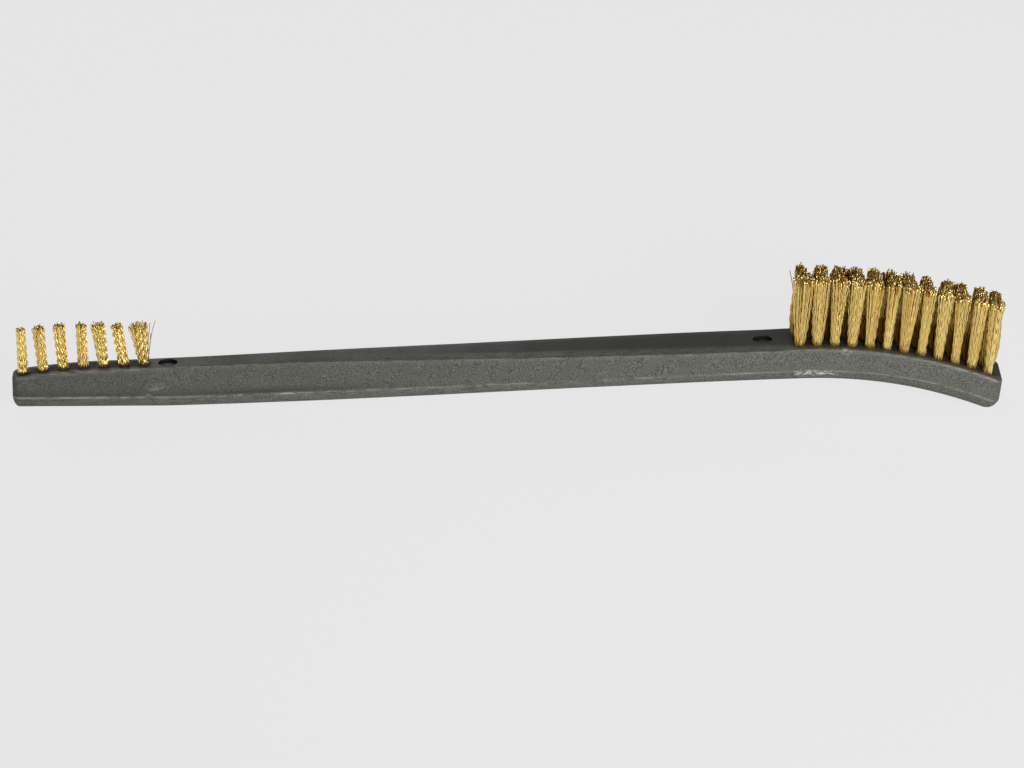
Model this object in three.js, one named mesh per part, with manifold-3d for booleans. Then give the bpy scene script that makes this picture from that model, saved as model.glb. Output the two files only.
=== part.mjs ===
// Brass wire brush with two heads: a narrow head with one row of tufts, and a wide curved head with three.
// Millimetres. +Z is up, the way the wires point, and +X runs from the small head to the large one.
// Each tuft of wire is folded over a flat metal anchor that is driven into a drilled hole in the handle.
import * as THREE from 'three';
import { mergeVertices } from 'three/addons/utils/BufferGeometryUtils.js';
import Module from 'manifold-3d';

const wasm = await Module();
wasm.setup();
const DEGREE = Math.PI / 180;
const Z_AXIS = new THREE.Vector3(0, 0, 1);

// Wires, their folded roots and the beds that they stand on
const STRANDS = 10; // in a tuft
const STRAND_RADIUS = 0.17;
const ROOT_RADIUS = 0.78;
const ROOT_GAP = 0.2; // from a root to its hole
const ROOT_NECK = 0.9; // of root between the anchor and the bed
const FOLD = 0.6; // of wire under the anchor
const BED_THICKNESS = 0.7;
const BED_LAND = 0.17; // of bed past the end holes
const BED_GAP = 0.3;

// Anchors
const ANCHOR_BITE = 0.37; // into the handle at each side of a hole
const ANCHOR_HEIGHT = 1.2;
const ANCHOR_THICKNESS = 0.35;
const ANCHOR_TURN = 40 * DEGREE; // from the line of the row, so that the handle doesn't split along it
const ANCHOR_GAP = 0.15;

// Tufts of the small head
const SMALL_TUFTS = 7;
const SMALL_PITCH = 3.62;
const SMALL_TRIM = 8.1; // length of wire above the top face
const SMALL_SPREAD = 0.92; // from a tuft's middle to its outer wires' middles, at the tips
const SMALL_LEAN = -4 * DEGREE; // towards the large end

// Tufts of the large head
const LARGE_TUFTS = 12; // in each row
const LARGE_PITCH = 3.14; // along the top face
const ROW_SPACING = 3;
const LARGE_TRIM = 12.9;
const TIP_GAP = 0.34; // between the tips of two tufts
const FIRST_LEAN = 2.6 * DEGREE; // towards the large end
const LAST_LEAN = 7 * DEGREE;

// Handle, seen from the side
const OVERALL_LENGTH = 177.8;
const FLAT_PAST = 4.44; // of flat back past the last small tuft
const RISE_SLOPE = 1.34 * DEGREE; // of the back where the grip begins and where it ends
const BEND_RADIUS = 81.6; // of the back of the large head
const BEND_LENGTH = 35.5; // along that back
const END_LEAN = 8 * DEGREE; // of the large end's face
const TURN_LENGTH = 12; // over which the cross-sections turn from square to the back to that lean
const TIP_ROUND = 2.3; // between the back and the large end's face
const SMALL_FLOOR = 1.5; // under the holes, at the small end
const LARGE_FLOOR = 1.7; // under the holes of the large head
const TIP_DROP = 1; // of the top face towards the small end
const TIP_DROP_LENGTH = 16;
const TOP_CROWN = 0.12; // how far the top face bows up between the heads

// Handle, seen from above
const SMALL_RIM = 1.03; // beside the bed
const SMALL_END_RIM = 0.46; // past the end of the bed
const LARGE_RIM = 0.92;
const LARGE_END_RIM = 1.43;
const SMALL_STRAIGHT = 2.54; // from the last small tuft to where the handle widens
const LARGE_STRAIGHT = 9.5; // from where it stops widening to the bend
const SMALL_CORNER = 1.4;
const LARGE_CORNER = 2;

// Handle, across
const DRAFT = 0.12; // how much each side spreads from the top face to the parting line
const PARTING_HEIGHT = 1.8; // of the mould's parting line above the back, where the back's round edge begins
const BACK_ROUND = 1.3; // how far that edge draws in
const TOP_EDGE = 0.3; // of the edges round the top face

// Two round marks in the top face, where pins push the handle out of its mould
const MARK_DIAMETER = 3.5;
const MARK_DEPTH = 0.4;
const SMALL_MARK_GAP = 4.3; // from the last small tuft
const LARGE_MARK_GAP = 6.15; // from the first large tuft

// Smoothness of the faceted shapes
const STEPS = { head: 8, grip: 16, bend: 13, corner: 5, edge: 3, bed: 9, hole: 6, mark: 20, strand: 3 };
const CUT_OVER = 1; // how far a cut stands clear of the face it opens
const SAME_POINT = 1e-5; // points nearer than this are one

// Holes, beds and anchors follow from the wires
const HOLE_RADIUS = ROOT_RADIUS + ROOT_GAP;
const HOLE_DEPTH = BED_THICKNESS + BED_GAP + ROOT_NECK + ANCHOR_HEIGHT + 2 * ANCHOR_GAP + FOLD + ROOT_GAP;
const ROOT_BOTTOM = ROOT_GAP - HOLE_DEPTH;
const WIRE_START = -BED_THICKNESS / 2;
const ANCHOR_MIDDLE = ROOT_BOTTOM + FOLD + ANCHOR_GAP + ANCHOR_HEIGHT / 2;
const ANCHOR_WIDTH = 2 * (HOLE_RADIUS + ANCHOR_BITE);
const BED_MARGIN = HOLE_RADIUS + BED_LAND;
const LARGE_BED_WIDTH = ROW_SPACING - BED_GAP;
const LARGE_SPREAD = (Math.min(ROW_SPACING, LARGE_PITCH) - TIP_GAP) / 2 - STRAND_RADIUS;

// The handle's sizes follow from what it holds
const SMALL_MARGIN = SMALL_END_RIM + BED_GAP + BED_MARGIN; // from the small end to the first tuft
const LARGE_MARGIN = LARGE_END_RIM + BED_GAP + BED_MARGIN; // from the large end to the last tuft
const SMALL_ROW = (SMALL_TUFTS - 1) * SMALL_PITCH;
const LARGE_ROW = (LARGE_TUFTS - 1) * LARGE_PITCH;
const SMALL_WIDTH = 2 * (BED_MARGIN + BED_GAP + SMALL_RIM);
const LARGE_WIDTH = 2 * (ROW_SPACING + BED_GAP + LARGE_RIM) + LARGE_BED_WIDTH;
const TIP_DEPTH = HOLE_DEPTH + SMALL_FLOOR; // from the back to the top face, at the small end
const HEAD_DEPTH = HOLE_DEPTH + LARGE_FLOOR;
const FLAT_LENGTH = SMALL_MARGIN + SMALL_ROW + FLAT_PAST;

// The large end's face leans outwards, and meets the back in a round tip
const BEND_END_SLOPE = RISE_SLOPE - BEND_LENGTH / BEND_RADIUS;
const END_TURN = -END_LEAN - BEND_END_SLOPE; // from square to the back
const TIP_CORNER = Math.PI / 2 - END_TURN; // between the back and the end's face
const TIP_REACH = TIP_ROUND / Math.tan(TIP_CORNER / 2); // of the round tip along the back
const TOP_STRETCH = (BEND_RADIUS + HEAD_DEPTH) / BEND_RADIUS; // of the large head's top face over its back

// The back rises between the heads so that the flat back and the round tip both touch the ground
const TIP_LIFT = TIP_ROUND * ((Math.cos(END_LEAN) - Math.sin(BEND_END_SLOPE)) / Math.sin(TIP_CORNER) - 1);
const ARCH_HEIGHT = BEND_RADIUS * (Math.cos(RISE_SLOPE) - Math.cos(BEND_END_SLOPE)) - TIP_LIFT;
const BEND_SPAN = BEND_RADIUS * (Math.sin(RISE_SLOPE) - Math.sin(BEND_END_SLOPE))
  + (HEAD_DEPTH - TOP_EDGE) / Math.cos(END_TURN) * Math.sin(END_LEAN);
const BEND_START = OVERALL_LENGTH - BEND_SPAN;
const RISE_LENGTH = BEND_START - FLAT_LENGTH;
const HANDLE_END = BEND_START + BEND_LENGTH;
// The length of back under the end of the top face
const TOP_END = HANDLE_END - HEAD_DEPTH * Math.tan(END_TURN) / TOP_STRETCH;

const plastic = new THREE.MeshStandardMaterial({ color: '#5f605a', roughness: 0.5, metalness: 0 });
const brass = new THREE.MeshStandardMaterial({ color: '#c9a860', roughness: 0.35, metalness: 1 });
const anchorBrass = new THREE.MeshStandardMaterial({ color: '#b8975a', roughness: 0.4, metalness: 1 });

// Solids

function toSolid(geometry) {
  const bare = geometry.clone();
  bare.deleteAttribute('normal');
  bare.deleteAttribute('uv');
  const merged = mergeVertices(bare, SAME_POINT);
  return new wasm.Manifold(new wasm.Mesh({
    numProp: 3,
    vertProperties: new Float32Array(merged.attributes.position.array),
    triVerts: new Uint32Array(merged.index.array),
  }));
}

function toGeometry(solid) {
  const { vertProperties, triVerts } = solid.getMesh();
  const geometry = new THREE.BufferGeometry();
  geometry.setAttribute('position', new THREE.BufferAttribute(vertProperties, 3));
  geometry.setIndex(new THREE.BufferAttribute(triVerts, 1));
  geometry.computeVertexNormals();
  return geometry;
}

// The back line of the handle, at a length u along it from the small end
function backLine(u) {
  if (u <= FLAT_LENGTH) {
    return { x: u, z: 0, slope: 0 };
  }
  if (u <= BEND_START) {
    const t = (u - FLAT_LENGTH) / RISE_LENGTH;
    const eased = t * t * (3 - 2 * t);
    const straight = Math.tan(RISE_SLOPE) * RISE_LENGTH;
    const z = ARCH_HEIGHT * eased + straight * (t - eased);
    const climb = (ARCH_HEIGHT - straight) * 6 * t * (1 - t) + straight;
    return { x: u, z, slope: Math.atan(climb / RISE_LENGTH) };
  }
  const slope = RISE_SLOPE - (u - BEND_START) / BEND_RADIUS;
  return {
    x: BEND_START + BEND_RADIUS * (Math.sin(RISE_SLOPE) - Math.sin(slope)),
    z: ARCH_HEIGHT - BEND_RADIUS * (Math.cos(RISE_SLOPE) - Math.cos(slope)),
    slope,
  };
}

function depthAt(u) {
  if (u >= BEND_START) {
    return HEAD_DEPTH;
  }
  const t = u / BEND_START;
  const straight = THREE.MathUtils.lerp(TIP_DEPTH + TIP_DROP, ARCH_HEIGHT + HEAD_DEPTH, t);
  const drop = TIP_DROP * Math.max(1 - u / TIP_DROP_LENGTH, 0) ** 2;
  return straight + TOP_CROWN * 4 * t * (1 - t) - drop - backLine(u).z;
}

function widthAt(u) {
  const start = SMALL_MARGIN + SMALL_ROW + SMALL_STRAIGHT;
  const widening = THREE.MathUtils.smoothstep(u, start, BEND_START - LARGE_STRAIGHT);
  return THREE.MathUtils.lerp(SMALL_WIDTH, LARGE_WIDTH, widening);
}

// How far the handle's cross-section is turned from square to the back line
function turnAt(u) {
  return END_TURN * THREE.MathUtils.smoothstep(u, HANDLE_END - TURN_LENGTH, HANDLE_END);
}

// The point on the cross-section at length u, y across from the middle and a height above the back line
function onHandle(u, y, height, turn = 0) {
  const { x, z, slope } = backLine(u);
  const reach = height / Math.cos(turn);
  return new THREE.Vector3(x - reach * Math.sin(slope + turn), y, z + reach * Math.cos(slope + turn));
}

// The length along the back line under a point of the large head's top face, given from that face's end
function underLargeTop(fromEnd) {
  const past = fromEnd - (TOP_END - BEND_START) * TOP_STRETCH;
  return past > 0 ? BEND_START - past : TOP_END - fromEnd / TOP_STRETCH;
}

// A closed bar along the back line, from outlines of [y, height] that run anticlockwise seen from +X
function sweep(lengths, outlineAt, turned = () => 0) {
  const rings = lengths.map((u) => outlineAt(u).map(([y, height]) => onHandle(u, y, height, turned(u))));
  const sides = rings[0].length;
  const faces = [];
  for (let ring = 0; ring + 1 < rings.length; ring += 1) {
    for (let side = 0; side < sides; side += 1) {
      const a = ring * sides + side;
      const b = ring * sides + (side + 1) % sides;
      faces.push(a, b, b + sides, a, b + sides, a + sides);
    }
  }
  const last = (rings.length - 1) * sides;
  const apex = sides / 2;
  for (let step = 1; step + 1 < sides; step += 1) {
    const a = (apex + step) % sides;
    const b = (apex + step + 1) % sides;
    faces.push(apex, b, a);
    faces.push(last + apex, last + a, last + b);
  }
  const geometry = new THREE.BufferGeometry().setFromPoints(rings.flat());
  geometry.setIndex(faces);
  return geometry;
}

function evenly(from, to, steps) {
  return Array.from({ length: steps + 1 }, (_, i) => THREE.MathUtils.lerp(from, to, i / steps));
}

// Handle

// How far a round corner has drawn a face in, at a distance along that face from the corner's point
function drawnIn(distance, radius, corner = Math.PI / 2) {
  const middle = radius / Math.sin(corner);
  const past = Math.min(distance - middle, radius / Math.tan(corner));
  const rise = Math.sqrt(Math.max(radius ** 2 - (past * Math.sin(corner)) ** 2, 0));
  return (middle - past * Math.cos(corner) - rise) * Math.sin(corner);
}

function handleOutline(u) {
  const fromEnd = Math.max(HANDLE_END - u, 0);
  const corner = drawnIn(u, SMALL_CORNER) + drawnIn(fromEnd, LARGE_CORNER);
  const smallBack = drawnIn(u, BACK_ROUND) / BACK_ROUND * PARTING_HEIGHT;
  const back = smallBack + drawnIn(fromEnd, TIP_ROUND, TIP_CORNER);
  const parting = Math.max(PARTING_HEIGHT, back);
  const top = depthAt(u) - drawnIn(u, TOP_EDGE) - drawnIn(fromEnd, TOP_EDGE);
  const half = widthAt(u) / 2 - corner;
  const widest = half + DRAFT;
  const round = Math.min(BACK_ROUND, half);
  const right = evenly(0, Math.PI / 2, STEPS.edge).map((angle) => [
    widest - round * (1 - Math.sin(angle)),
    parting - (parting - back) * Math.cos(angle),
  ]);
  right.push([half, top - TOP_EDGE], [half - TOP_EDGE, top]);
  const left = right.map(([y, height]) => [-y, height]).reverse();
  return [...right, ...left];
}

function handleLengths() {
  const arc = evenly(0, Math.PI / 2, STEPS.corner);
  const smallRound = Math.max(SMALL_CORNER, BACK_ROUND);
  const largeRound = Math.max(LARGE_CORNER, TIP_REACH);
  const small = arc.map((angle) => smallRound * (1 - Math.cos(angle)));
  const large = arc.map((angle) => HANDLE_END - largeRound * (1 - Math.cos(angle))).reverse();
  const head = evenly(smallRound, FLAT_LENGTH, STEPS.head);
  const grip = evenly(FLAT_LENGTH, BEND_START, STEPS.grip);
  const bend = evenly(BEND_START, HANDLE_END - largeRound, STEPS.bend);
  return [...small, ...head.slice(1, -1), ...grip, ...bend.slice(1, -1), ...large];
}

// Tufts

// The frame of a tuft: its origin is on the top face and its Z is the tuft's own line, leaning along X
function tuftFrame(u, y, lean) {
  const turn = new THREE.Matrix4().makeRotationY(lean);
  return turn.setPosition(onHandle(u, y, depthAt(u)));
}

function smallRow() {
  const lengths = evenly(SMALL_MARGIN, SMALL_MARGIN + SMALL_ROW, SMALL_TUFTS - 1);
  return {
    tufts: lengths.map((u) => tuftFrame(u, 0, SMALL_LEAN)),
    bed: [SMALL_MARGIN - BED_MARGIN, SMALL_MARGIN + SMALL_ROW + BED_MARGIN],
    middle: 0,
    width: 2 * BED_MARGIN,
    trim: SMALL_TRIM,
    spread: SMALL_SPREAD,
  };
}

// How far a large tuft leans, at a share of the way along its row: the lean grows fastest at the row's start
function largeLean(share) {
  return THREE.MathUtils.lerp(FIRST_LEAN, LAST_LEAN, share * (2 - share));
}

function largeRow(y) {
  const first = LARGE_MARGIN + LARGE_ROW;
  const lengths = evenly(first, LARGE_MARGIN, LARGE_TUFTS - 1).map(underLargeTop);
  return {
    tufts: lengths.map((u, i) => tuftFrame(u, y, largeLean(i / (LARGE_TUFTS - 1)))),
    bed: [underLargeTop(first + BED_MARGIN), underLargeTop(LARGE_MARGIN - BED_MARGIN)],
    middle: y,
    width: LARGE_BED_WIDTH,
    trim: LARGE_TRIM,
    spread: LARGE_SPREAD,
  };
}

// The slab under a row: a slice of the handle's top face, or with a gap round it, the pocket that holds it
function slab(row, middle, width, gap, over) {
  const [from, to] = row.bed;
  return sweep(evenly(from - gap, to + gap, STEPS.bed), (u) => {
    const top = depthAt(u) + over;
    const bottom = depthAt(u) - BED_THICKNESS - gap;
    const half = width / 2 + gap;
    return [[middle + half, bottom], [middle + half, top], [middle - half, top], [middle - half, bottom]];
  });
}

// A straight rod with a regular outline, between two heights on Z
function rod(radius, bottom, top, sides) {
  const outline = new THREE.Shape();
  for (let i = 0; i < sides; i += 1) {
    const angle = i / sides * 2 * Math.PI;
    outline[i ? 'lineTo' : 'moveTo'](radius * Math.cos(angle), radius * Math.sin(angle));
  }
  const upright = new THREE.ExtrudeGeometry(outline, { depth: top - bottom, bevelEnabled: false });
  return upright.translate(0, 0, bottom);
}

// A straight wire between two points
function wire(from, to) {
  const along = to.clone().sub(from);
  const upright = rod(STRAND_RADIUS, 0, along.length(), STEPS.strand);
  upright.applyQuaternion(new THREE.Quaternion().setFromUnitVectors(Z_AXIS, along.normalize()));
  return upright.translate(from.x, from.y, from.z);
}

// An anchor's block with a gap round it, and longer by an extra where it passes right through a root
function anchorBlock(gap, extra) {
  const block = new THREE.BoxGeometry(
    ANCHOR_WIDTH + 2 * gap + extra,
    ANCHOR_THICKNESS + 2 * gap,
    ANCHOR_HEIGHT + 2 * gap,
  );
  return block.rotateZ(ANCHOR_TURN).translate(0, 0, ANCHOR_MIDDLE);
}

// The folded root of a tuft, in the tuft's frame, with a loop for the anchor
function root() {
  const solid = toSolid(rod(ROOT_RADIUS, ROOT_BOTTOM, WIRE_START, STEPS.hole));
  return toGeometry(solid.subtract(toSolid(anchorBlock(ANCHOR_GAP, CUT_OVER))));
}

// The wires of a tuft, in the tuft's frame: laid out as in a sunflower, so that none cross as they spread
function wires(trim, spread) {
  const goldenAngle = Math.PI * (3 - Math.sqrt(5));
  return Array.from({ length: STRANDS }, (_, i) => {
    const out = Math.sqrt((i + 0.5) / STRANDS);
    const foot = new THREE.Vector3(out * (ROOT_RADIUS - STRAND_RADIUS / 2), 0, WIRE_START);
    const tip = new THREE.Vector3(out * spread, 0, trim);
    const [from, to] = [foot, tip].map((point) => point.applyAxisAngle(Z_AXIS, i * goldenAngle));
    return wire(from, to);
  });
}

// A row of tufts on its bed
function tuftRow(row) {
  const pieces = [root(), ...wires(row.trim, row.spread)];
  let solid = toSolid(slab(row, row.middle, row.width, 0, 0));
  for (const frame of row.tufts) {
    for (const piece of pieces) {
      solid = solid.add(toSolid(piece.clone().applyMatrix4(frame)));
    }
  }
  return toGeometry(solid);
}

// Assembly

const rows = [
  { name: 'small_head', ...smallRow() },
  { name: 'large_head_front', ...largeRow(-ROW_SPACING) },
  { name: 'large_head_middle', ...largeRow(0) },
  { name: 'large_head_rear', ...largeRow(ROW_SPACING) },
];
const [smallHead, , largeHead] = rows;

function pinMark(u) {
  const { slope } = backLine(u);
  const cut = rod(MARK_DIAMETER / 2, -MARK_DEPTH, CUT_OVER, STEPS.mark);
  const { x, y, z } = onHandle(u, 0, depthAt(u));
  return toSolid(cut.rotateY(-slope).translate(x, y, z));
}

function makeHandle() {
  let solid = toSolid(sweep(handleLengths(), handleOutline, turnAt));
  solid = solid.subtract(toSolid(slab(smallHead, 0, smallHead.width, BED_GAP, CUT_OVER)));
  const threeRows = 2 * ROW_SPACING + LARGE_BED_WIDTH;
  solid = solid.subtract(toSolid(slab(largeHead, 0, threeRows, BED_GAP, CUT_OVER)));
  const hole = rod(HOLE_RADIUS, -HOLE_DEPTH, 0, STEPS.hole);
  const seat = anchorBlock(ANCHOR_GAP, 0);
  for (const frame of rows.flatMap((row) => row.tufts)) {
    solid = solid.subtract(toSolid(hole.clone().applyMatrix4(frame)));
    solid = solid.subtract(toSolid(seat.clone().applyMatrix4(frame)));
  }
  solid = solid.subtract(pinMark(SMALL_MARGIN + SMALL_ROW + SMALL_MARK_GAP));
  solid = solid.subtract(pinMark(underLargeTop(LARGE_MARGIN + LARGE_ROW + LARGE_MARK_GAP)));
  return toGeometry(solid);
}

function addMesh(parent, name, geometry, material) {
  const mesh = new THREE.Mesh(geometry, material);
  mesh.name = name;
  parent.add(mesh);
}

function makeBrush() {
  const brush = new THREE.Group();
  addMesh(brush, 'handle', makeHandle(), plastic);
  for (const row of rows) {
    addMesh(brush, `${row.name}_tufts`, tuftRow(row), brass);
    row.tufts.forEach((frame, i) => {
      const place = new THREE.Group();
      place.applyMatrix4(frame);
      brush.add(place);
      addMesh(place, `${row.name}_anchor_${String(i + 1).padStart(2, '0')}`, anchorBlock(0, 0), anchorBrass);
    });
  }
  return brush;
}

// The origin is on the ground, under the middle of the brush
const stand = new THREE.Group();
const brush = makeBrush();
stand.add(brush);
stand.updateMatrixWorld(true);
const box = new THREE.Box3().setFromObject(brush, true);
const middle = box.getCenter(new THREE.Vector3());
brush.position.set(-middle.x, -middle.y, -box.min.z);

export default stand;
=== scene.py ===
"""The looks of a two-headed brass wire brush: a moulded plastic handle with tufts of wire in both heads.

Named lengths are millimetres and the meshes are in metres. A length u runs along the back of the handle from
its small end, y runs across it and a height h stands on its back. A pair of numbers called a span, start,
end, top, bottom, edge or fade is where a change begins and where it is complete.
"""
import math

import bmesh
import bpy
import numpy as np
from mathutils import Matrix, Vector, noise


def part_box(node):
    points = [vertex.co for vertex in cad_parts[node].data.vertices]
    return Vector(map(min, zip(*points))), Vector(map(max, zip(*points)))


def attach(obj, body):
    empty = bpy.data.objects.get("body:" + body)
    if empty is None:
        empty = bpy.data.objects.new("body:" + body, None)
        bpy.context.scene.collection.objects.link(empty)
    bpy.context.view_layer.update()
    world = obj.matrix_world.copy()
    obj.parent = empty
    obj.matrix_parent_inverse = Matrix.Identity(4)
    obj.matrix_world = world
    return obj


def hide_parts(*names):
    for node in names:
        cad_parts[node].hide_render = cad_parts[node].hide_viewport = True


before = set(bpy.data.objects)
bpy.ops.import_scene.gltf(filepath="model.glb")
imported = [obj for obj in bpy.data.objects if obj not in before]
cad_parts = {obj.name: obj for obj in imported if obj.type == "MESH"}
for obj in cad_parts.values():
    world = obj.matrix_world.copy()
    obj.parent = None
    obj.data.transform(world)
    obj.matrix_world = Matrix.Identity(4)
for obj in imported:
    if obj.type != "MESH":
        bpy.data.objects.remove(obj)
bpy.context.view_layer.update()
MM = 0.001
SEED = 41
GOLDEN_ANGLE = math.pi * (3 - math.sqrt(5))

# Photograph and camera
IMAGE_WIDTH = 1024
IMAGE_HEIGHT = 768
SENSOR_WIDTH = 36.0
FOCAL_PIXELS = 6000.0
PIXELS_PER_MM = 5.557  # at the middle of the brush
CAMERA_ELEVATION = math.radians(21.63)
CAMERA_YAW = math.radians(0.93)  # the large head is the further one
MIDDLE_HEIGHT = 6.0
MIDDLE_PIXEL = (507.1, 369.5)  # where the point at that height, halfway along the handle, shows
CLIP_START = 0.05  # metres from the camera
CLIP_END = 50.0

# Handle, seen from the side
FLAT_LENGTH = 28.07  # of flat back under the small head
TIP_DEPTH = 5.7  # from the back to the top face, at the small end
TIP_DROP = 1.0  # of the top face towards the small end
TIP_DROP_LENGTH = 16.0
HEAD_DEPTH = 5.9
RISE_SLOPE = math.radians(1.34)  # of the back where the grip begins and where it ends
BEND_RADIUS = 81.6  # of the large head's back
BEND_LENGTH = 35.5
END_LEAN = math.radians(8.0)  # of the large end's face
TURN_LENGTH = 12.0  # over which the cross-sections turn to that lean
TIP_ROUND = 2.3
TOP_CROWN = 0.12  # how far the top face bows up between the heads

# Handle, seen from above
SMALL_WIDTH = 4.96
LARGE_WIDTH = 11.14
WIDEN_START = 26.17
LARGE_STRAIGHT = 9.5  # from where it stops widening to the bend
SMALL_CORNER = 1.4
LARGE_CORNER = 2.0

# Handle, across
DRAFT = 0.12  # how much each side spreads from the top face to the parting line
PARTING_HEIGHT = 1.8  # of the parting line above the back, at its lowest
SMALL_PARTING_LIFT = 0.3  # how much higher it runs at the small end
LARGE_PARTING_LIFT = 0.2
PARTING_FALL = (2 * FLAT_LENGTH, 4 * FLAT_LENGTH)  # the span over which it comes down from the small end
PARTING_RIDGE = 0.06  # how far it stands out
PARTING_BREADTH = 0.12
BACK_ROUND = 1.3
TOP_EDGE = 0.3
TOP_CAMBER = 0.3  # how far the wide grip's top face falls to its edges
CAMBER_FULL = 4 * LARGE_STRAIGHT  # how far before the bend it falls that far
FLAT_SHARE = 0.55  # of the top face's half width, which doesn't fall
CAMBER_CURVE = 1.2
TOP_SWELL = 0.2  # how far that face's middle stands above a flat one
SWELL_FULL = 2 * FLAT_LENGTH  # where it is raised that far

# Handle, the points of its mesh
RING_STEP = 0.6
RINGS_NEAR_END = 14
BACK_POINTS = 4
ROUND_POINTS = 9
LINE_POINTS = (PARTING_BREADTH / 2, 0.16, 0.4)  # above the parting line, close together to carry its painted highlight and the painted shade over it
SIDE_START = 0.8  # above that line, of the evenly spaced points of the side
SIDE_POINTS = 6
EDGE_POINTS = 5
TOP_POINTS = 8
UNEVENNESS = 0.02  # of the moulded faces
UNEVEN_SIZE = 9.0
SHARP_ANGLE = math.radians(40)  # edges that turn more stay sharp

# Holes and marks in the handle
HOLE_RADIUS = 0.98
HOLE_DEPTH = 4.2
HOLE_SIDES = 28
MARK_RADIUS = 1.75
MARK_DEPTH = 0.4
SMALL_MARK_GAP = 4.3  # from the last small tuft
LARGE_MARK_GAP = 6.15  # from the first large tuft
MARK_CENTRE_DEPTH = 1.0  # of the middle of the ball that takes in a mark and nothing else of the surface
CUT_OVER = 1.0  # how far a cut stands clear of the face it opens
ANCHOR_DEPTH = 2.65  # from the top face to the middle of an anchor

# Where wear, painted light and painted shade count as being on a part of the handle
PLACE_STEP = 0.2  # between the lengths that a point of the surface is matched with
SIDE_INSET = (0.9, 0.5)  # span in from the full half width
TOP_INSET = (1.0, 0.4)  # span down from the top face's edges
END_REACH = 8.0  # of what is worn, painted lit and painted shaded at the ends

# Plastic made pale: rubbed edges that also carry a painted highlight, and a painted highlight along the
# parting line,
# painted light from the floor on the strip under it, and a painted lit strip along the front of the top face
EDGE_INSET = 0.1  # of the middle of a pale edge, from both faces
EDGE_BREADTH = 0.22
EDGE_PALE = 0.25
SMALL_EDGE_PALE = 0.3  # more at the small end
LARGE_EDGE_PALE = 0.35
# The parting line's paleness is a painted highlight on its ridge, brightest in streaks.
LINE_BREADTH = 0.1
LINE_PALE = 0.5
LINE_LOSS = 0.2  # how much of that is lost where the line is faint
LINE_FAINT = (85.0, 105.0)  # the span over which it turns faint
SMALL_LINE_PALE = 0.3
LARGE_LINE_PALE = 0.2
LONG_STREAKS = ((41.7, 3.2), (49.5, 2.8))  # where the line is palest: the middle and length of each stretch
LONG_STREAK_PALE = 0.5
SHORT_STREAKS = ((106.9, 1.0), (113.1, 1.4), (124.0, 1.2), (130.4, 2.6))
SHORT_STREAK_PALE = 0.3
# Painted light from the floor on the strip under the parting line
UNDER_LINE_LIGHT = 0.12
STRIP_EDGE = (-0.35, -0.1)  # its fading edge under the line
STRIP_FADE = (100.0, 145.0)
LIT_STRIP_PALE = 0.1  # of the painted lit strip along the front of the top face
LIT_STRIP_PEAK_PALE = 0.14  # more where it is palest
LIT_STRIP_PEAK = (85.0, 22.0)  # the middle and length of that stretch
LIT_STRIP_START = (58.0, 76.0)
LIT_STRIP_BREADTH = 2.4
LIT_STRIP_BLUR = 0.4
LIT_STRIP_MARGIN = 1.0  # beside the front edge, where its paleness fades

# Scuffs on the front, and a painted lit band
PATCH_START = (140.0, 141.0)  # of a scraped patch by the large head
PATCH_END = (147.0, 148.5)
PATCH_HEIGHT = (1.45, 0.5)  # its middle and breadth
NICK = 149.1  # in the top edge
NICK_LENGTH = 0.5
NICK_HEIGHT = 0.6
TRAIL_PALE = 0.5  # of the scratch that runs down from the nick
TRAIL_SLANT = 0.3
TRAIL_BREADTH = 0.25
TRAIL_BOTTOM = (3.5, 5.0)
LIT_BAND_PALE = 0.3  # of a faint painted lit band slanting across the small head, where it meets the grip
BAND = 21.6  # where it would meet the back
BAND_SLANT = 1.1
BAND_BREADTH = 1.0
BAND_BOTTOM = (1.9, 2.4)
BAND_TOP = (3.8, 5.0)

# Grime among the tufts, and painted shade among them, above the parting line, on the small end and on the top
ROW_GRIME_AND_SHADE = (1.2, 2.0)  # from the middle of a row, how far grime and painted shade are whole and where they end
LINE_SHADE_HEIGHT = (0.5, 0.3)  # middle and breadth of the painted shade above the parting line
SHADE_HAZE = 0.4  # of thinner painted shade above it
SHADE_HAZE_BOTTOM = (0.1, 0.5)
SHADE_HAZE_TOP = (0.9, 2.2)
LINE_SHADE_DARK = 0.3
LINE_SHADE_DARKER = 0.3  # more where it is darkest
LINE_SHADE_DARKEST = (44.0, 13.0)  # the middle and length of that stretch
LINE_SHADE_END = (60.0, 80.0)
# Painted shade on the side at the small end
SMALL_END_SHADE = 0.12
# Painted shade on the top face towards the large head
TOP_SHADE_DARK = 0.7
TOP_SHADE_START = (70.0, 96.0)

# Plastic: colours, and noise by its scale in 1/m, detail and roughness
DARK_GREY = (0.035, 0.037, 0.028, 1)
PALE_GREY = (0.174, 0.173, 0.149, 1)
CLOUD_GREY = (0.082, 0.089, 0.077, 1)
FLOW_GREY = (0.150, 0.150, 0.136, 1)
# The grime colour also paints shade among the tufts, above the parting line, on the small end and on the top.
GRIME_AND_SHADE = (0.014, 0.008, 0.003, 1)
# Painted shade for the walls of the round marks
MARK_SHADE = (0.006, 0.006, 0.005, 1)
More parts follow.
